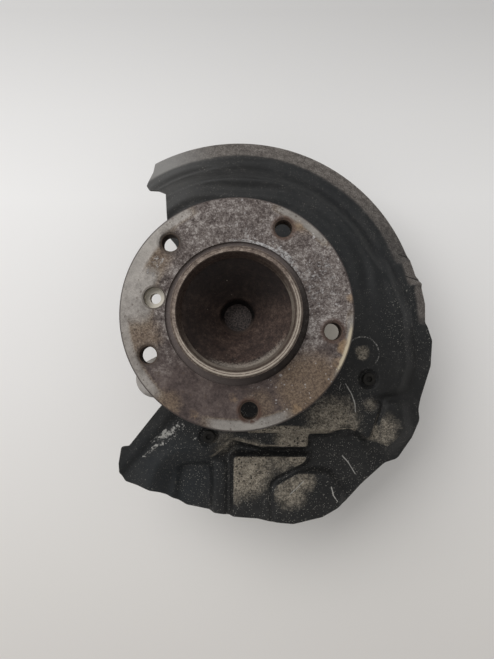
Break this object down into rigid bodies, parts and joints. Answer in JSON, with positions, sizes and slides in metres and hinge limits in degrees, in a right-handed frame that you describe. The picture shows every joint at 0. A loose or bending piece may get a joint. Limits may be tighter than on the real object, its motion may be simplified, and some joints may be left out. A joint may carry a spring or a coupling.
{
  "type": "steering knuckle with wheel hub",
  "caption": "Front steering knuckle with a turning wheel hub, its bearing, a pressed brake dust shield, a strut clamp and lower ball-joint arms.",
  "frame": {"origin": "centre of the hub flange's outer face, on the hub axis", "axes": "+Z along the hub axis, out towards the wheel; +Y up on the vehicle; the caliper ears are on the -X side"},
  "size_m": [0.233, 0.288, 0.162],
  "materials": {
    "hub_steel": "light rust with bright worn patches",
    "bearing_steel": "ground steel, dulled",
    "seal_rubber": "matt",
    "cage_plastic": "moulded",
    "shield_sheet": "black coated sheet, dusty and scratched",
    "screw_steel": "dark coated",
    "cast_aluminium": "raw casting, weathered",
    "bolt_steel": "zinc flake coated, weathered",
    "sleeve_steel": "turned, dulled"
  },
  "bodies": {
    "knuckle": {"knuckle_casting": "cast_aluminium", "dust_shield": "shield_sheet", "shield_screws": "screw_steel", "bearing_outer_ring": "bearing_steel", "outboard_seal": "seal_rubber", "inboard_seal": "seal_rubber", "bearing_bolts": "bolt_steel", "end_cap": "bearing_steel", "strut_clamp_bolt": "bolt_steel", "strut_clamp_nut": "bolt_steel", "control_arm_sleeve": "sleeve_steel", "tension_strut_sleeve": "sleeve_steel", "track_rod_sleeve": "sleeve_steel"},
    "hub": {"wheel_hub": "hub_steel", "bearing_inner_ring": "bearing_steel", "encoder_ring": "seal_rubber"},
    "ball_sets": {"outboard_balls": "bearing_steel", "inboard_balls": "bearing_steel", "outboard_cage": "cage_plastic", "inboard_cage": "cage_plastic"}
  },
  "joints": [
    {"name": "hub_spin", "type": "hinge", "parent": "knuckle", "child": "hub", "pos_m": [0, 0, -0.036], "axis": [0, 0, 1], "continuous": true},
    {"name": "ball_set_orbit", "type": "hinge", "parent": "knuckle", "child": "ball_sets", "pos_m": [0, 0, -0.036], "axis": [0, 0, 1], "continuous": true}
  ],
  "couplings": [
    {"joint": "ball_set_orbit", "follows": "hub_spin", "ratio": 0.4}
  ]
}
